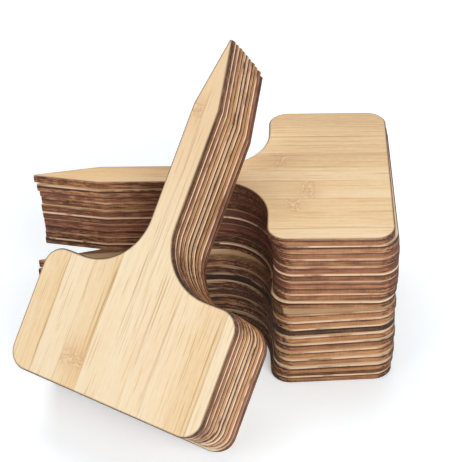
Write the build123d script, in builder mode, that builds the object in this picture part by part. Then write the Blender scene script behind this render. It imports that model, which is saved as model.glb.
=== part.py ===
from build123d import *
import os
from math import cos, radians, sin

os.makedirs("parts", exist_ok=True)

# One stake: a T-shaped tag cut in one piece from a bamboo board, in millimetres
stake_length = 100.0
stake_thickness = 2.4
head_width = 60.0
head_length = 34.0
shank_width = 7.8
point_length = 18.6
tip_width = 0.8
neck_radius = 15.2
corner_radius = 5.5
arris_ease = 0.25
least_land = 0.5

# Air between neighbours: in the pile's upper group, in its loose lower group, in the leaning bundle,
# and between the bundle and the pile
snug_clearance = 0.05
loose_clearance = 0.2
bundle_clearance = 0.18
lean_clearance = 0.2

# The leaning bundle: its slope from the floor, its turn seen from above,
# and the place along the pile where its rear stake touches the pile's top edge
bundle_slope = 45.0
bundle_turn = -29.8
bundle_spot = -32.9

# How each flat stake lies, from the bottom up: shift along X, shift along Y, turn in degrees.
# The loose ones at the bottom are turned together, and the ten above them lie almost straight.
loose_stakes = 9
pile_places = [
    (-1.2, -4.0, 3.4),
    (-1.1, -3.1, 4.3),
    (-0.9, -2.6, 4.5),
    (-1.2, -2.3, 4.9),
    (-1.0, -1.9, 5.1),
    (-1.3, -1.8, 5.4),
    (-1.1, -1.5, 4.8),
    (-1.1, -1.5, 4.7),
    (-0.7, -1.4, 4.4),
    (0.7, 0.2, 0.1),
    (1.0, 0.7, 0.5),
    (1.2, 0.6, 0.5),
    (1.3, -0.2, 0.3),
    (1.2, 0.1, 0.5),
    (1.1, 0.3, 0.6),
    (1.3, 0.5, 0.4),
    (1.1, 0.6, 0.5),
    (0.7, 0.1, 0.6),
    (0.0, 0.0, 0.0),
]

# How each leaning stake lies, from the rear one forward: shift up the slope, shift across it
bundle_places = [
    (0.0, 0.0),
    (0.9, 0.2),
    (1.3, 0.1),
    (1.7, 0.3),
    (2.0, 0.2),
    (2.3, 0.4),
    (2.6, 0.4),
    (2.8, 0.6),
    (3.0, 0.6),
    (3.2, 0.7),
]

# The outline's stations along its length, with the head's centre at 0 and the point towards -X
head_end = head_length / 2
head_start = -head_length / 2
tip_end = head_end - stake_length
shoulder = tip_end + point_length

# The neck's curve stays clear of the head's corner and of the shoulder
neck_room = (head_width - shank_width) / 2 - corner_radius - least_land
shank_room = head_start - shoulder - least_land
neck_curve = min(neck_radius, neck_room, shank_room)

one_side = [
    (tip_end, tip_width / 2),
    (shoulder, shank_width / 2),
    (head_start, shank_width / 2),
    (head_start, head_width / 2),
    (head_end, head_width / 2),
]
other_side = [(x, -y) for x, y in reversed(one_side)]

with BuildSketch() as outline:
    Polygon(*one_side, *other_side, align=None)
    head_sides = outline.vertices().group_by(Axis.Y)
    fillet(head_sides[0] + head_sides[-1], radius=corner_radius)
    neck_corners = outline.vertices().sort_by_distance((head_start, 0, 0))[:2]
    fillet(neck_corners, radius=neck_curve)


def make_stake(name, plane):
    """Cuts one stake on its plane, eases the arrises of both faces and writes it."""
    with BuildPart() as stake:
        with BuildSketch(plane):
            add(outline.sketch)
        extrude(amount=stake_thickness)
        through = stake.faces().sort_by(Axis(plane.origin, plane.z_dir))
        chamfer(through[0].edges() + through[-1].edges(), length=arris_ease)
    stake.part.label = name
    export_step(stake.part, f"parts/{name}.step")


# The flat pile, stacked up from the floor
loose_pitch = stake_thickness + loose_clearance
snug_pitch = stake_thickness + snug_clearance
under_sides = [
    min(below, loose_stakes) * loose_pitch + max(below - loose_stakes, 0) * snug_pitch
    for below in range(len(pile_places))
]
for number, (shift_x, shift_y, turn) in enumerate(pile_places, start=1):
    lengthwise = Vector(cos(radians(turn)), sin(radians(turn)), 0)
    seat = Vector(shift_x, shift_y, under_sides[number - 1])
    make_stake(f"pile_stake_{number:02d}", Plane(origin=seat, x_dir=lengthwise, z_dir=(0, 0, 1)))

# The leaning bundle's own directions: across it, level towards the pile, up its slope, out of its face
slope_sin = sin(radians(bundle_slope))
slope_cos = cos(radians(bundle_slope))
across = Vector(cos(radians(bundle_turn)), sin(radians(bundle_turn)), 0)
inward = Vector(-across.Y, across.X, 0)
upslope = inward * slope_cos + Vector(0, 0, slope_sin)
outward = inward * -slope_sin + Vector(0, 0, slope_cos)

# The rear stake stands on the floor by its lower eased arris, and its back clears the pile's top edge
top_shift_x, top_shift_y, _ = pile_places[-1]
pile_height = under_sides[-1] + stake_thickness
top_edge = Vector(bundle_spot + top_shift_x, top_shift_y - shank_width / 2, pile_height)
foot_drop = arris_ease * min(slope_sin, slope_cos)
foot = top_edge - upslope * ((pile_height + foot_drop) / slope_sin)
foot = foot + across * (shank_width / 2) - inward * (lean_clearance / slope_sin)

bundle_pitch = stake_thickness + bundle_clearance
for number, (shift_up, shift_across) in enumerate(bundle_places, start=1):
    head_centre = foot + upslope * (head_length / 2 + shift_up) + across * shift_across
    seat = head_centre + outward * ((number - 1) * bundle_pitch)
    make_stake(f"leaning_stake_{number:02d}", Plane(origin=seat, x_dir=-upslope, z_dir=outward))

# The line that the bundle tips up about, where its eased arris meets the floor
pivot = foot + outward * arris_ease
print("bundle pivot", pivot, "along", across)
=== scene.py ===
import random
from math import cos, radians, sin, sqrt

import bmesh
import bpy
from mathutils import Euler, Matrix, Vector


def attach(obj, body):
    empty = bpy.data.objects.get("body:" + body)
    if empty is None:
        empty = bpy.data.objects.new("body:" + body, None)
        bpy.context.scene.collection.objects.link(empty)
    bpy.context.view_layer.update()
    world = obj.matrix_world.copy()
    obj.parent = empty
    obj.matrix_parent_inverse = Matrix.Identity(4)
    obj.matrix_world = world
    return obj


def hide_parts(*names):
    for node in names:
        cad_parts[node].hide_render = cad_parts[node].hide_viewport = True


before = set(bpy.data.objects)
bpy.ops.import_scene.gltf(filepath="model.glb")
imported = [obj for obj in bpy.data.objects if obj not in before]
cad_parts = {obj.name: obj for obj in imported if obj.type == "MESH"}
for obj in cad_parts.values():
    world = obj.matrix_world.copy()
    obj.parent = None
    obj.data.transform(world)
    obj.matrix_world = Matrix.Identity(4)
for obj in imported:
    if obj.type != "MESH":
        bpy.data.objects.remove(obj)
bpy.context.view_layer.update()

MM = 0.001
WHITE = (1.0, 1.0, 1.0, 1.0)

# One stake, in millimetres, as it is cut from the board: the head's centre at 0, the point towards -X
stake_length = 100.0
stake_thickness = 2.4
head_width = 60.0
head_length = 34.0
shank_width = 7.8
point_length = 18.6
tip_width = 0.8
neck_radius = 15.2
corner_radius = 5.5
arris_ease = 0.25
head_end = head_length / 2
tip_end = head_end - stake_length

# How finely the curves are cut, and what counts as the same place, a level face or a smooth edge
corner_steps = 14
neck_steps = 28
hair = 0.01
weld = 0.001
level_normal = 0.99
wall_normal = 0.9
most_ring_corners = 8
smooth_below = 25.0

# The scorch: the rim's width and the way into the neck, in millimetres, and how dark the pile's neck
# gets, as laser char and painted shade;
# and the share of the pile's end grain darkening, char with painted shade, that the bundle's edges keep
scorch_width = 0.45
neck_lead = 14.0
neck_fade_in = 10.0
neck_darkness = 0.9
bundle_end_grain_share = 0.5

# The two stacks, in millimetres and degrees
snug_pitch = 2.45
loose_pitch = 2.6
bundle_pitch = 2.58
lean_clearance = 0.2
bundle_slope = 45.0
bundle_turn = -29.8
bundle_spot = -32.9
loose_stakes = 9

# The flat pile from the bottom up: shift along X, shift along Y, turn
pile_places = [
    (-1.2, -4.0, 3.4), (-1.1, -3.1, 4.3), (-0.9, -2.6, 4.5), (-1.2, -2.3, 4.9),
    (-1.0, -1.9, 5.1), (-1.3, -1.8, 5.4), (-1.1, -1.5, 4.8), (-1.1, -1.5, 4.7),
    (-0.7, -1.4, 4.4), (0.7, 0.2, 0.1), (1.0, 0.7, 0.5), (1.2, 0.6, 0.5),
    (1.3, -0.2, 0.3), (1.2, 0.1, 0.5), (1.1, 0.3, 0.6), (1.3, 0.5, 0.4),
    (1.1, 0.6, 0.5), (0.7, 0.1, 0.6), (0.0, 0.0, 0.0),
]

# The leaning bundle from the rear one forward: shift up the slope, shift across it
bundle_places = [
    (0.0, 0.0), (0.9, 0.2), (1.3, 0.1), (1.7, 0.3), (2.0, 0.2),
    (2.3, 0.4), (2.6, 0.4), (2.8, 0.6), (3.0, 0.6), (3.2, 0.7),
]

# The laser's burn on each cut edge, pile from the bottom up and bundle from the rear forward:
# char near the upper arris, char near the lower one, redness, amber, strength of the pale upper arris
pile_burns = [
    (0.52, 0.62, 0.1, 0.25, 1.10), (0.64, 0.42, 0.1, 0.25, 1.10), (0.50, 0.46, 0.1, 0.25, 1.00),
    (0.48, 0.38, 0.1, 0.30, 1.00), (0.68, 0.50, 0.3, 0.15, 1.00), (0.38, 0.52, 0.2, 0.40, 1.00),
    (0.84, 0.86, 0.0, 0.0, 1.15), (0.62, 0.42, 0.2, 0.30, 1.05), (0.46, 0.42, 0.3, 0.35, 0.55),
    (0.76, 0.44, 0.2, 0.0, 3.40), (0.42, 0.66, 0.2, 0.1, 0.65), (0.66, 0.55, 0.3, 0.0, 0.60),
    (0.66, 0.48, 0.8, 0.0, 0.35), (0.66, 0.64, 0.5, 0.0, 2.40), (0.62, 0.60, 0.7, 0.0, 0.60),
    (0.52, 0.62, 0.3, 0.1, 0.65), (0.52, 0.50, 0.6, 0.0, 0.60), (0.72, 0.40, 0.3, 0.0, 1.00),
    (0.56, 0.52, 0.4, 0.1, 0.30),
]
bundle_burns = [
    (0.70, 0.78, 0.2, 0.0, 0.70), (0.66, 0.48, 0.9, 0.0, 1.20), (0.56, 0.24, 0.2, 0.5, 0.80),
    (0.90, 0.30, 0.1, 0.7, 1.20), (0.92, 0.24, 0.1, 0.0, 1.30), (0.92, 0.02, 0.0, 0.0, 1.30),
    (0.60, 0.18, 0.1, 0.6, 1.00), (0.62, 0.36, 0.0, 0.3, 0.90), (0.68, 0.48, 0.6, 0.0, 1.20),
    (0.72, 0.64, 0.0, 0.0, 0.00),
]

# The pile's stakes with painted shade on the bare ledges of their tops, at the head's margins and along
# the neck's cut, and how much
shaded_ledge_stakes = {1: 0.9, 9: 0.42}

# The board's glued strips, across it: width in millimetres, tone from pale to tan,
# and the place of a node along the stake from 0 at its tip to 1, with 0 for none
board_strips = [
    (7.2, 0.44, 0.0), (7.1, 0.16, 0.0), (7.4, 0.46, 0.92), (7.3, 0.12, 0.20), (7.0, 0.16, 0.0),
    (6.0, 0.20, 0.0), (7.8, 0.22, 0.0), (6.2, 0.48, 0.0), (4.0, 0.18, 0.0), (4.6, 0.46, 0.0),
    (6.9, 0.56, 0.0), (6.0, 0.60, 0.73), (8.5, 0.54, 0.77), (6.2, 0.48, 0.0), (6.8, 0.84, 0.69),
    (4.0, 0.70, 0.0), (4.5, 0.62, 0.0), (5.5, 0.70, 0.0), (7.5, 0.84, 0.0), (5.2, 0.30, 0.40),
    (7.0, 0.10, 0.0), (6.3, 0.52, 0.0), (5.8, 0.22, 0.86), (7.7, 0.66, 0.0), (6.1, 0.16, 0.0),
    (4.9, 0.38, 0.55), (7.4, 0.08, 0.0), (6.6, 0.72, 0.0), (5.5, 0.28, 0.10), (6.9, 0.46, 0.0),
]
board_reach = sum(width for width, _, _ in board_strips)
glue_half = 0.2

# Which part of the board a stake is cut from: the front and the top one's place across it, how far the
# others slide along it, the layers of the pattern between stakes, and the bundle's first layer
front_window = 30.0
top_window = 90.0
window_slide = 40.0
layer_step = 11.0
bundle_layer = 300.0

# Dark fibres on the two boards in full view: place across, start and end along, strength
fibre_width = 0.4
front_fibres = [
    (-22.8, -17, 12, 0.8), (-9.8, -12, -2, 0.6), (-8.3, -18, 6, 0.9), (-1.0, -24, -9, 0.7),
    (0.2, -60, -12, 0.45), (1.9, -46, -20, 0.5), (2.7, -16, -4, 0.5), (6.2, -20, 8, 0.7),
    (7.2, -20, -5, 0.6), (11.9, -14, 16, 0.5), (19.9, -20, 4, 0.6), (24.9, -14, 16, 0.7),
]
top_fibres = [
    (-25.4, -17, 16, 0.6), (-18.6, -12, -4, 0.6), (-12.4, -15, 16, 0.4), (2.2, -20, 16, 0.5),
    (8.2, -20, -9, 0.9), (13.0, -17, 16, 0.5), (15.0, -17, 16, 0.5), (17.4, -17, 16, 0.55),
    (19.9, -17, 16, 0.6), (22.4, -17, 16, 0.6),
]

# The patterns: scale along, across and through the board, detail, roughness
glue_breaks = (0.04, 0.4, 0.4), 2.0, 0.5
fine_grain = (0.035, 2.0, 2.0), 4.0, 0.7
short_dashes = (0.075, 1.5, 1.5), 2.0, 0.6
gold_threads = (0.08, 2.4, 2.4), 1.0, 0.5
broad_drift = (0.02, 0.09, 0.09), 1.0, 0.5
faint_mottle = (0.5, 1.3, 1.3), 2.0, 0.5
fibre_wander = (0.07, 0.3, 0.3), 2.0, 0.5
node_curls = (0.8, 0.5, 0.5), 3.0, 0.6
edge_blotches = (0.16, 0.16, 0.35), 3.0, 0.5
edge_layers = (0.06, 0.06, 1.9), 3.0, 0.6
edge_strands = (0.22, 1.7, 2.2), 3.0, 0.65
warm_patches = (0.09, 0.09, 0.3), 2.0, 0.5
laser_ribs = (2.4, 2.4, 0.12), 1.0, 0.5
arris_wear = (0.12, 0.12, 0.0), 3.0, 0.5
floor_mottle = (9.0, 9.0, 9.0), 2.0, 0.5

# Where a mark starts and is full, as levels of its pattern
glue_marks = 0.4, 0.7
dash_marks = 0.57, 0.76
thread_marks = 0.6, 0.72
fibre_marks = 0.3, 0.6
curl_lines = 0.0, 0.05
curl_marks = 0.56, 0.68
strand_marks = 0.28, 0.72
warm_marks = 0.5, 0.68
wear_marks = 0.25, 0.6

# How far the patterns swing the faces' tone and the edges' char,
# and how far a dark fibre wanders, in millimetres
drift_swing, fine_swing, mottle_swing, strip_swing = 0.4, 1.0, 0.35, 0.14
blotch_swing, layer_swing, rib_swing = 0.5, 0.7, 0.2
wander_swing = 0.7

# Distances on the faces in millimetres, where each look starts or is full and where it ends:
# tone into a strip, tan towards the point, a dark fibre's two ends, a node's haze and curls,
# and painted shade on the bare ledges from the head's end, from its sides and from the neck's cut
strip_slope = 0.0, 8.0
point_tanning = 15.0, 60.0
fibre_starts, fibre_ends = (-3.0, 4.0), (-4.0, 3.0)
haze_reach = 0.0, 7.0
curl_reach = 0.6, 3.2
end_ledge_shade, side_ledge_shade, neck_ledge_shade = (1.5, 6.0), (2.5, 7.0), (1.8, 3.2)

# Steps of tone that show glue, places that have a node, painted shade and scorch that show,
# how much deeper the painted shade lies by the neck, and how it is mottled
glue_steps = 0.0, 0.05
noded_places = 0.005, 0.02
deep_ledge_shade = 0.6, 1.0
rim_scorch = 0.25, 0.8
neck_shade_deeper = 2.0
shade_mottle, shade_least = 0.5, 0.75

# Depths from a face, in millimetres: where the face's looks start and are full,
# and where the pale line under the upper arris starts and is full
face_starts, face_full = 0.05, 0.01
pale_starts, pale_full = 0.42, 0.26

# The cut edge's char, with 0 at its upper arris and 1 at its lower one: where the upper char
# gives way to the lower, a dark line's place, half its width and its char, and the char of end grain,
# which on the pile's neck also carries painted shade
char_turn = 0.25, 0.65
dark_line, dark_line_half, dark_line_char = 0.27, 0.15, 0.34
end_grain_char = 0.42

# How strands show on edges along the fibres and on slanted ones, how char hides amber,
# the shares of amber and of warm patches, and how end grain hides the pale line
slanted_edges = 0.04, 0.2
strand_least, strand_slanted = 0.18, 0.45
amber_hidden = 0.45, 0.85
amber_share, warm_share = 0.75, 0.18
pale_hidden = 0.72

# The bamboo's surface: roughness of the cut edge, how much smoother the faces are, how far it swings,
# shine, and relief by pattern, with its depth in metres
edge_roughness = 0.72
face_smoother = 0.2
roughness_swing = 0.12
bamboo_shine = 0.3
fine_relief, dash_relief, fibre_relief, rib_relief = 0.6, -0.4, -0.4, 0.5
relief_strength = 0.25
relief_depth = 0.0001

# The floor, in metres: half its side, its drop under the stakes, where it runs out into plain white;
# then its colour and glow as the camera sees it, and the strength of the light from all round
floor_half = 3.0
floor_drop = 0.0003
sweep_starts, sweep_full = 0.2, 0.6
floor_seen = (0.88, 0.94, 0.98, 1.0)
floor_glow = 0.36
world_fill = 0.06

# The soft lamps: place and width in metres, power in watts
lamp_aim = (-0.03, -0.02, 0.03)
lamps = {
    "key_softbox": ((0.35, -0.75, 0.55), 0.6, 6.6),
    "left_softbox": ((-0.75, -0.45, 0.55), 0.55, 2.3),
    "top_softbox": ((-0.1, 0.4, 0.8), 0.7, 4.2),
}

# The camera, fitted to the outlines of the top and the front stake, in millimetres and degrees
camera_sensor = 36.0
camera_lens = 104.05
camera_place = (-8.10, -309.30, 270.87)
camera_turn = (51.7933, 2.0295, 1.8411)


def paint(red, green, blue):
    """A colour as seen on a screen, 0 to 255, as the shader wants it."""
    parts = [c / 255 for c in (red, green, blue)]
    light = [c / 12.92 if c <= 0.04045 else ((c + 0.055) / 1.055) ** 2.4 for c in parts]
    return (*light, 1.0)


# Bamboo from pale to tan, its cut edge from clean to charred, and the floor's faint mottling
face_tones = [
    (0.0, paint(251, 231, 198)), (0.3, paint(247, 221, 181)),
    (0.6, paint(239, 206, 158)), (1.0, paint(219, 182, 138)),
]
char_tones = [
    (0.0, paint(238, 204, 166)), (0.25, paint(208, 162, 120)), (0.5, paint(166, 119, 83)),
    (0.75, paint(112, 77, 54)), (1.0, paint(52, 35, 27)),
]
floor_tones = [(0.0, paint(250, 250, 250)), (1.0, paint(254, 254, 254))]

# What is laid over the faces and the cut edges: a colour and its largest share
point_tan = paint(222, 172, 112), 0.35
dash_brown = paint(205, 163, 112), 0.2
thread_gold = paint(214, 163, 94), 0.48
glue_brown = paint(178, 138, 94), 0.4
fibre_brown = paint(182, 134, 80), 0.75
node_haze = paint(221, 178, 130), 0.38
curl_brown = paint(188, 143, 100), 0.5
curl_pale = paint(251, 232, 206), 0.42
# Painted shade on the bare ledges: tan, and brown where it lies deepest
shade_tan = paint(198, 154, 114), 1.0
shade_brown = paint(92, 66, 47), 0.8
rim_brown = paint(122, 95, 70), 0.6
burn_red = paint(166, 100, 82), 0.42
burn_amber = paint(208, 148, 92), 1.0
bare_bamboo = paint(243, 213, 182), 1.0


class Wire:
    """One socket of a node tree. Sums on wires add Math nodes, and node() adds any other node."""

    def __init__(self, tree, socket=None):
        self.tree = tree
        self.socket = socket

    def node(self, kind, settings, sockets, out=0):
        made = self.tree.nodes.new("ShaderNode" + kind)
        for name, value in settings.items():
            if name == "stops":
                stops = made.color_ramp.elements
                while len(stops) < len(value):
                    stops.new(1.0)
                for stop, (place, colour) in zip(stops, value):
                    stop.position = place
                    stop.color = colour
            elif name == "interpolation":
                made.color_ramp.interpolation = value
            else:
                setattr(made, name, value)
        for name, value in sockets.items():
            if isinstance(value, Wire):
                self.tree.links.new(value.socket, made.inputs[name])
            else:
                made.inputs[name].default_value = value
        return Wire(self.tree, made.outputs[out] if made.outputs else None)

    def maths(self, operation, first, second=0.0):
        return self.node("Math", {"operation": operation}, {0: first, 1: second})

    def __add__(self, other):
        return self.maths("ADD", self, other)

    def __radd__(self, other):
        return self.maths("ADD", other, self)

    def __sub__(self, other):
        return self.maths("SUBTRACT", self, other)

    def __rsub__(self, other):
        return self.maths("SUBTRACT", other, self)

    def __mul__(self, other):
        return self.maths("MULTIPLY", self, other)

    def __rmul__(self, other):
        return self.maths("MULTIPLY", other, self)

    def __truediv__(self, other):
        return self.maths("DIVIDE", self, other)

    def __rtruediv__(self, other):
        return self.maths("DIVIDE", other, self)

    def __abs__(self):
        return self.maths("ABSOLUTE", self)

    def rise(self, low, high):
        """0 up to low, 1 from high on, smooth between."""
        ends = {"Value": self, "From Min": low, "From Max": high}
        return self.node("MapRange", {"interpolation_type": "SMOOTHSTEP"}, ends)

    def near(self, full, none):
        """1 up to a distance from zero, on both sides, and 0 from another on."""
        return 1.0 - abs(self).rise(full, none)

    def swing(self, size):
        """A value from 0 to 1 as a swing about zero."""
        return (self - 0.5) * size

    def part(self, axis):
        return self.node("SeparateXYZ", {}, {0: self}, out=axis)

    def cloud(self, scale, detail, roughness):
        """A cloudy pattern at this place."""
        place = self.node("VectorMath", {"operation": "MULTIPLY"}, {0: self, 1: scale})
        sockets = {"Vector": place, "Scale": 1.0, "Detail": detail, "Roughness": roughness}
        return self.node("TexNoise", {}, sockets)

    def ramp(self, stops, interpolation="LINEAR"):
        return self.node("ValToRGB", {"stops": stops, "interpolation": interpolation}, {0: self})

    def mixed(self, other, share):
        """This colour with a share of another in its place."""
        return self.node("Mix", {"data_type": "RGBA"}, {0: share, 6: self, 7: other}, out=2)

    def tinted(self, tint, where):
        """This colour with a tint laid over it, a colour and its largest share."""
        colour, most = tint
        return self.mixed(colour, where * most)


def new_finish(name):
    finish = bpy.data.materials.new(name)
    finish.use_nodes = True
    finish.node_tree.nodes.clear()
    return finish, Wire(finish.node_tree)


def strip_stops():
    """The board's strips as steps of a ramp: tone in red, node in green, start in blue."""
    stops = []
    edge = 0.0
    for width, tone, node in board_strips:
        stops.append((edge / board_reach, (tone, node, edge / board_reach, 1.0)))
        edge += width
    return stops


def strip_at(across):
    return (across / board_reach).ramp(strip_stops(), "CONSTANT")


def fibre_stops(fibres):
    """Dark fibres as steps of a ramp: strength in red, start in green, end in blue."""
    stops = [(0.0, (0.0, 0.0, 0.0, 1.0))]
    for across, start, end, strength in fibres:
        near = 0.5 + (across - fibre_width / 2) / head_width
        ends = [(place + stake_length) / stake_length / 2 for place in (start, end)]
        stops.append((near, (strength, *ends, 1.0)))
        stops.append((near + fibre_width / head_width, (0.0, *ends, 1.0)))
    return stops


def dark_fibres(fibres, window, along, across):
    """How dark the named fibres are at a place on the board."""
    mark = ((across - window) / head_width + 0.5).ramp(fibre_stops(fibres), "CONSTANT")
    start, end = [(mark.part(axis) * 2.0 - 1.0) * stake_length for axis in ("Y", "Z")]
    return mark.part("X") * (along - start).rise(*fibre_starts) * (end - along).rise(*fibre_ends)


def ledge_shade_at(new, cut):
    """How deep the painted shade lies on a face's bare ledges: on the head's margins, and deeper along
    the neck's cut.
    """
    along, aside = cut.part("X"), abs(cut.part("Y"))
    inside = (head_end - along).rise(*end_ledge_shade) * (head_width / 2 - aside).rise(*side_ledge_shade)
    to_head = new.maths("MAXIMUM", along + (head_end + neck_radius), 0.0)
    to_side = new.maths("MAXIMUM", (shank_width / 2 + neck_radius) - aside, 0.0)
    from_neck = new.maths("SQRT", to_head * to_head + to_side * to_side) - neck_radius
    return 1.0 - inside + (1.0 - from_neck.rise(*neck_ledge_shade)) * neck_shade_deeper


def face_looks(new, cut, board, painted_shade_share, rim):
    """The faces' colour, their relief and their fine grain."""
    along, across = board.part("X"), board.part("Y")

    # The strips, and the thin glue lines where two of them meet
    strip = strip_at(across)
    tone, node_place = strip.part("X"), strip.part("Y")
    into_strip = across - strip.part("Z") * board_reach
    before = strip_at(across - glue_half).part("X")
    after = strip_at(across + glue_half).part("X")
    glue = abs(after - before).rise(*glue_steps) * board.cloud(*glue_breaks).rise(*glue_marks)

    # Fine fibres everywhere, broad drifts of tone and faint mottling, darker across each strip
    fine = board.cloud(*fine_grain)
    drift = board.cloud(*broad_drift)
    mottle = board.cloud(*faint_mottle)
    shade = tone + drift.swing(drift_swing) + fine.swing(fine_swing) + mottle.swing(mottle_swing)
    shade = shade + into_strip.rise(*strip_slope).swing(strip_swing)
    face = shade.ramp(face_tones)

    # More tan towards the point, then short dashes, gold threads, glue lines and single dark fibres
    dashes = board.cloud(*short_dashes).rise(*dash_marks)
    threads = board.cloud(*gold_threads).rise(*thread_marks)
    wandering = across + board.cloud(*fibre_wander).swing(wander_swing)
    fibres = dark_fibres(front_fibres, front_window, along, wandering)
    fibres = fibres + dark_fibres(top_fibres, top_window, along, wandering)
    face = face.tinted(point_tan, (0.0 - along).rise(*point_tanning))
    face = face.tinted(dash_brown, dashes)
    face = face.tinted(thread_gold, threads)
    face = face.tinted(glue_brown, glue)
    face = face.tinted(fibre_brown, fibres * fine.rise(*fibre_marks))

    # A node crosses its own strip: a warm haze with small curls in it
    away = along - (node_place * stake_length + tip_end)
    noded = node_place.rise(*noded_places)
    close = away.near(*curl_reach) * noded
    curl = board.cloud(*node_curls)
    face = face.tinted(node_haze, away.near(*haze_reach) * noded)
    face = face.tinted(curl_brown, (curl - 0.5).near(*curl_lines) * close)
    face = face.tinted(curl_pale, curl.rise(*curl_marks) * close)

    # Painted shade where the stakes above leave a face bare, and the scorched rim
    painted_shade = painted_shade_share * ledge_shade_at(new, cut) * (mottle * shade_mottle + shade_least)
    face = face.tinted(shade_tan, painted_shade)
    face = face.tinted(shade_brown, painted_shade.rise(*deep_ledge_shade))
    face = face.tinted(rim_brown, rim.rise(*rim_scorch))
    relief = fine * fine_relief + dashes * dash_relief + fibres * fibre_relief
    return face, relief, fine


def edge_looks(board, height, burn, hue, end_grain):
    """The cut edges' colour and their relief."""
    upper, lower, redness = [burn.part(axis) for axis in ("X", "Y", "Z")]
    amber, pale_arris = hue.part("X"), hue.part("Y")

    # Char by the stake's own burn, blotches, layers along the cut, fibres and the laser's fine ribs
    blotches = board.cloud(*edge_blotches)
    layers = board.cloud(*edge_layers)
    strands = board.cloud(*edge_strands).rise(*strand_marks)
    strand_swing = end_grain.rise(*slanted_edges) * strand_slanted + strand_least
    ribs = board.cloud(*laser_ribs)
    low = 1.0 - height / stake_thickness
    char = upper + (lower - upper) * low.rise(*char_turn)
    char = char + blotches.swing(blotch_swing) + layers.swing(layer_swing)
    char = char + strands.swing(strand_swing) + ribs.swing(rib_swing)
    # On the pile the end grain also carries the neck's darkening, partly laser char and partly painted
    # shade
    char = char + end_grain * end_grain_char
    char = char + (low - dark_line).near(0.0, dark_line_half) * dark_line_char
    edge = char.ramp(char_tones)

    # Its hue, and the pale line under the upper arris where the cut is clean
    warmth = board.cloud(*warm_patches).rise(*warm_marks)
    golden = (amber * amber_share + warmth * warm_share) * (1.0 - char.rise(*amber_hidden))
    worn = board.cloud(*arris_wear).rise(*wear_marks)
    pale = (pale_arris * worn - end_grain * pale_hidden).rise(0.0, 1.0)
    bare = height.rise(stake_thickness - pale_starts, stake_thickness - pale_full) * pale
    edge = edge.tinted(burn_red, redness)
    edge = edge.tinted(burn_amber, golden)
    edge = edge.tinted(bare_bamboo, bare)
    return edge, strands + ribs * rib_relief


def bamboo_finish():
    """Glued bamboo strips on the faces, laser char on the cut edges, scorched rims between them."""
    finish, new = new_finish("bamboo_laser_cut")
    cut, board, burn, hue = [
        new.node("Attribute", {"attribute_name": name}, {}, out="Vector")
        for name in ("cut_place", "board_place", "edge_burn", "edge_hue")
    ]
    rim, end_grain = [
        new.node("Attribute", {"attribute_name": name}, {}, out="Fac")
        for name in ("rim", "end_grain")
    ]
    height = cut.part("Z")
    half = stake_thickness / 2
    on_face = abs(height - half).rise(half - face_starts, half - face_full)
    # The hue's third channel is the painted shade on the bare ledges
    face, face_relief, fine = face_looks(new, cut, board, hue.part("Z"), rim)
    edge, edge_relief = edge_looks(board, height, burn, hue, end_grain)

    relief = face_relief * on_face + edge_relief * (1.0 - on_face)
    bump = new.node("Bump", {}, {
        "Height": relief, "Strength": relief_strength, "Distance": relief_depth,
    })
    body = new.node("BsdfPrincipled", {}, {
        "Base Color": edge.mixed(face, on_face),
        "Roughness": edge_roughness - on_face * face_smoother + fine.swing(roughness_swing),
        "Normal": bump,
        "Specular IOR Level": bamboo_shine,
    })
    new.node("OutputMaterial", {}, {"Surface": body})
    return finish


def ease(blank, geom, size, steps, affect):
    bmesh.ops.bevel(
        blank, geom=geom, offset=size, offset_type="OFFSET", segments=steps, profile=0.5,
        affect=affect, material=-1, clamp_overlap=False,
    )


def lies_level(edge):
    return abs(edge.verts[0].co.z - edge.verts[1].co.z) < hair


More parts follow.
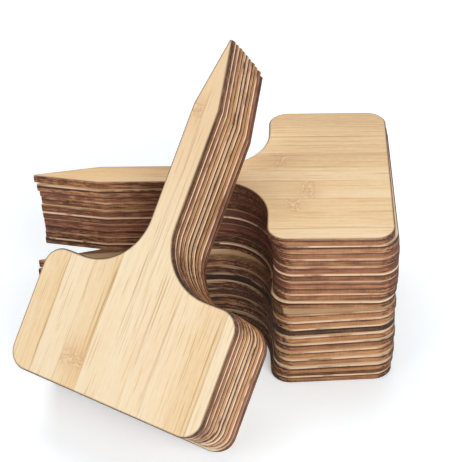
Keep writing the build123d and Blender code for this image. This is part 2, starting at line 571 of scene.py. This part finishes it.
def cut_blank():
    """One stake in its own frame, in millimetres."""
    blank = bmesh.new()
    one_side = [
        (tip_end, tip_width / 2), (tip_end + point_length, shank_width / 2),
        (-head_end, shank_width / 2), (-head_end, head_width / 2), (head_end, head_width / 2),
    ]
    other_side = [(x, -y) for x, y in reversed(one_side)]
    corners = [blank.verts.new((x, y, 0.0)) for x, y in reversed(one_side + other_side)]
    blank.faces.new(corners)
    head_corners = [v for v in corners if abs(v.co.y) > head_width / 2 - hair]
    ease(blank, head_corners, corner_radius, corner_steps, "VERTICES")
    neck_corners = [
        v for v in blank.verts if abs(v.co.x + head_end) < hair and abs(v.co.y) < shank_width
    ]
    ease(blank, neck_corners, neck_radius, neck_steps, "VERTICES")

    # Up to its thickness, with eased arrises and a ring inside each face's rim for the scorch
    raised = bmesh.ops.extrude_face_region(blank, geom=blank.faces[:])["geom"]
    upper = [g for g in raised if isinstance(g, bmesh.types.BMVert)]
    bmesh.ops.translate(blank, verts=upper, vec=(0.0, 0.0, stake_thickness))
    bmesh.ops.recalc_face_normals(blank, faces=blank.faces[:])
    ease(blank, [e for e in blank.edges if lies_level(e)], arris_ease, 1, "EDGES")
    faces = [f for f in blank.faces if abs(f.normal.z) > level_normal]
    rim = blank.verts.layers.float.new("rim")
    for v in blank.verts:
        v[rim] = 1.0
    bmesh.ops.inset_region(blank, faces=faces, thickness=scorch_width, use_even_offset=True)

    # At the tip the ring is wider than the face, so its inner corners move back to where it closes
    taper = (shank_width - tip_width) / 2 / point_length
    ring_reach = (arris_ease + scorch_width) * sqrt(1 + taper * taper)
    ring_closes = tip_end + (ring_reach - tip_width / 2) / taper
    inner_tips = []
    for f in blank.faces:
        if abs(f.normal.z) > level_normal and len(f.verts) > most_ring_corners:
            for v in f.verts:
                v[rim] = 0.0
                if v.co.x < ring_closes:
                    v.co.x, v.co.y = ring_closes, 0.0
                    inner_tips.append(v)
    bmesh.ops.remove_doubles(blank, verts=inner_tips, dist=weld)

    # What the finish reads: the place on the stake, how far an edge is cut across the fibres,
    # and how dark the walls grow into the neck, partly laser char and partly painted shade
    place = blank.verts.layers.float_vector.new("cut_place")
    end_grain = blank.verts.layers.float.new("end_grain")
    neck_char_and_shade = blank.verts.layers.float.new("neck_char_and_shade")
    neck_way = neck_radius + neck_lead
    for v in blank.verts:
        v[place] = v.co
        walls = [
            abs(f.normal.x) / f.normal.xy.length
            for f in v.link_faces if abs(f.normal.z) < wall_normal
        ]
        v[end_grain] = sum(walls) / len(walls) if walls else 0.0
        into_neck = v.co.x + head_end + neck_way
        if walls and 0.0 < into_neck < neck_way + hair:
            v[neck_char_and_shade] = neck_darkness * min(1.0, into_neck / neck_fade_in)
    for f in blank.faces:
        f.smooth = True
    for e in blank.edges:
        e.smooth = not lies_level(e) and e.calc_face_angle(0.0) < radians(smooth_below)
    return blank


def stand_at(origin, lengthwise, upright):
    """The matrix from a stake's own frame in millimetres to its place in metres."""
    sideways = upright.cross(lengthwise)
    turn = Matrix((lengthwise, sideways, upright)).transposed().to_4x4()
    return Matrix.Translation(origin * MM) @ turn @ Matrix.Scale(MM, 4)


def board_window(layer):
    """The part of the board that a stake is cut from, drawn at random."""
    slide = pick.uniform(-window_slide, window_slide)
    across = pick.uniform(head_width / 2, board_reach - head_width / 2)
    return Vector((slide, across, layer))


def lay_stake(name, matrix, burn, window, dark_neck, scorched, painted_shade=0.0):
    """Places a copy of the blank, with its own piece of board and its own burn."""
    copy = blank.copy()
    place = copy.verts.layers.float_vector["cut_place"]
    rim = copy.verts.layers.float["rim"]
    end_grain = copy.verts.layers.float["end_grain"]
    neck_char_and_shade = copy.verts.layers.float["neck_char_and_shade"]
    board = copy.verts.layers.float_vector.new("board_place")
    edge_burn = copy.verts.layers.float_vector.new("edge_burn")
    edge_hue = copy.verts.layers.float_vector.new("edge_hue")
    upper, lower, redness, amber, pale_arris = burn
    for v in copy.verts:
        v[board] = v[place] + window
        v[edge_burn] = (upper, lower, redness)
        # The hue's third channel carries the painted shade on the bare ledges
        v[edge_hue] = (amber, pale_arris, painted_shade)
        # On the pile the neck's walls and rim are darkened, partly laser char and partly painted shade;
        # the bundle keeps a share of its end grain's char
        if dark_neck:
            v[end_grain] = max(v[end_grain], v[neck_char_and_shade])
        else:
            v[end_grain] = v[end_grain] * bundle_end_grain_share
        if not scorched:
            v[rim] = v[rim] * v[neck_char_and_shade] if dark_neck else 0.0
    copy.transform(matrix)
    mesh = bpy.data.meshes.new(name)
    copy.to_mesh(mesh)
    copy.free()
    mesh.materials.append(bamboo)
    piece = bpy.data.objects.new(name + "_bamboo", mesh)
    bpy.context.scene.collection.objects.link(piece)
    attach(piece, name)
    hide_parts(name)


bamboo = bamboo_finish()
blank = cut_blank()
pick = random.Random(7)

# The flat pile, stacked up from the floor
under_sides = [
    min(below, loose_stakes) * loose_pitch + max(below - loose_stakes, 0) * snug_pitch
    for below in range(len(pile_places))
]
for number, (shift_x, shift_y, turn) in enumerate(pile_places, start=1):
    lengthwise = Vector((cos(radians(turn)), sin(radians(turn)), 0.0))
    seat = Vector((shift_x, shift_y, under_sides[number - 1]))
    matrix = stand_at(seat, lengthwise, Vector((0.0, 0.0, 1.0)))
    window = board_window(layer_step * number)
    on_top = number == len(pile_places)
    if on_top:
        window = Vector((0.0, top_window, layer_step * number))
    painted_shade = shaded_ledge_stakes.get(number, 0.0)
    lay_stake(
        f"pile_stake_{number:02d}", matrix, pile_burns[number - 1], window,
        dark_neck=True, scorched=on_top or painted_shade > 0, painted_shade=painted_shade,
    )

# The leaning bundle's own directions: across it, level towards the pile, up its slope, out of its face
slope_sin, slope_cos = sin(radians(bundle_slope)), cos(radians(bundle_slope))
across = Vector((cos(radians(bundle_turn)), sin(radians(bundle_turn)), 0.0))
inward = Vector((-across.y, across.x, 0.0))
upslope = inward * slope_cos + Vector((0.0, 0.0, slope_sin))
outward = inward * -slope_sin + Vector((0.0, 0.0, slope_cos))

# Its rear stake stands on the floor by its lower eased arris, and its back clears the pile's top edge
top_shift_x, top_shift_y, _ = pile_places[-1]
pile_height = under_sides[-1] + stake_thickness
top_edge = Vector((bundle_spot + top_shift_x, top_shift_y - shank_width / 2, pile_height))
foot_drop = arris_ease * min(slope_sin, slope_cos)
foot = top_edge - upslope * ((pile_height + foot_drop) / slope_sin)
foot = foot + across * (shank_width / 2) - inward * (lean_clearance / slope_sin)
for number, (shift_up, shift_across) in enumerate(bundle_places, start=1):
    seat = foot + upslope * (head_end + shift_up) + across * shift_across
    seat = seat + outward * ((number - 1) * bundle_pitch)
    matrix = stand_at(seat, -upslope, outward)
    window = board_window(bundle_layer + layer_step * number)
    in_front = number == len(bundle_places)
    if in_front:
        window = Vector((0.0, front_window, bundle_layer))
    lay_stake(
        f"leaning_stake_{number:02d}", matrix, bundle_burns[number - 1], window,
        dark_neck=False, scorched=in_front,
    )
blank.free()


def looked_at(new):
    """1 for what the camera sees, straight, in a shine or through glass, and 0 for what only lights."""
    camera_ray, glossy_ray, clear_ray = [
        new.node("LightPath", {}, {}, out=name)
        for name in ("Is Camera Ray", "Is Glossy Ray", "Is Transmission Ray")
    ]
    return new.maths("MAXIMUM", new.maths("MAXIMUM", camera_ray, glossy_ray), clear_ray)


def floor_finish():
    """A white studio sweep that keeps a soft shadow and runs out into plain white."""
    finish, new = new_finish("studio_floor_white")
    place = new.node("TexCoord", {}, {}, out="Object")
    away = new.node("VectorMath", {"operation": "LENGTH"}, {0: place}, out="Value")
    colour = place.cloud(*floor_mottle).ramp(floor_tones)
    matt = new.node("BsdfDiffuse", {}, {"Color": colour})
    shaded = new.node("BsdfDiffuse", {}, {"Color": floor_seen})
    glow = new.node("Emission", {}, {"Color": WHITE, "Strength": floor_glow})
    plain = new.node("Emission", {}, {"Color": WHITE, "Strength": 1.0})
    sweep = new.node("AddShader", {}, {0: shaded, 1: glow})
    run_out = away.rise(sweep_starts, sweep_full)
    sweep = new.node("MixShader", {}, {0: run_out, 1: sweep, 2: plain})
    both = new.node("MixShader", {}, {0: looked_at(new), 1: matt, 2: sweep})
    new.node("OutputMaterial", {}, {"Surface": both})
    return finish


# The floor
sheet = bmesh.new()
bmesh.ops.create_grid(sheet, x_segments=1, y_segments=1, size=floor_half)
bmesh.ops.translate(sheet, verts=sheet.verts[:], vec=(0.0, 0.0, -floor_drop))
floor_mesh = bpy.data.meshes.new("studio_floor")
sheet.to_mesh(floor_mesh)
sheet.free()
floor_mesh.materials.append(floor_finish())
floor = bpy.data.objects.new("studio_floor", floor_mesh)
bpy.context.scene.collection.objects.link(floor)

# The light
for name, (place, width, watts) in lamps.items():
    lamp = bpy.data.lights.new(name, "AREA")
    lamp.size = width
    lamp.energy = watts
    holder = bpy.data.objects.new(name, lamp)
    holder.location = place
    aim = Vector(lamp_aim) - Vector(place)
    holder.rotation_euler = aim.to_track_quat("-Z", "Y").to_euler()
    bpy.context.scene.collection.objects.link(holder)

world = bpy.data.worlds.new("studio_white")
world.use_nodes = True
world.node_tree.nodes.clear()
air = Wire(world.node_tree)
fill = air.node("Background", {}, {"Color": WHITE, "Strength": world_fill})
white = air.node("Background", {}, {"Color": WHITE, "Strength": 1.0})
around = air.node("MixShader", {}, {0: looked_at(air), 1: fill, 2: white})
air.node("OutputWorld", {}, {"Surface": around})
bpy.context.scene.world = world
bpy.context.scene.view_settings.view_transform = "Standard"

# The camera
camera_data = bpy.data.cameras.new("photo_camera")
camera_data.sensor_width = camera_sensor
camera_data.sensor_fit = "HORIZONTAL"
camera_data.lens = camera_lens
camera = bpy.data.objects.new("photo_camera", camera_data)
camera.location = Vector(camera_place) * MM
camera.rotation_euler = Euler([radians(angle) for angle in camera_turn])
bpy.context.scene.collection.objects.link(camera)
bpy.context.scene.camera = camera

bpy.context.view_layer.update()
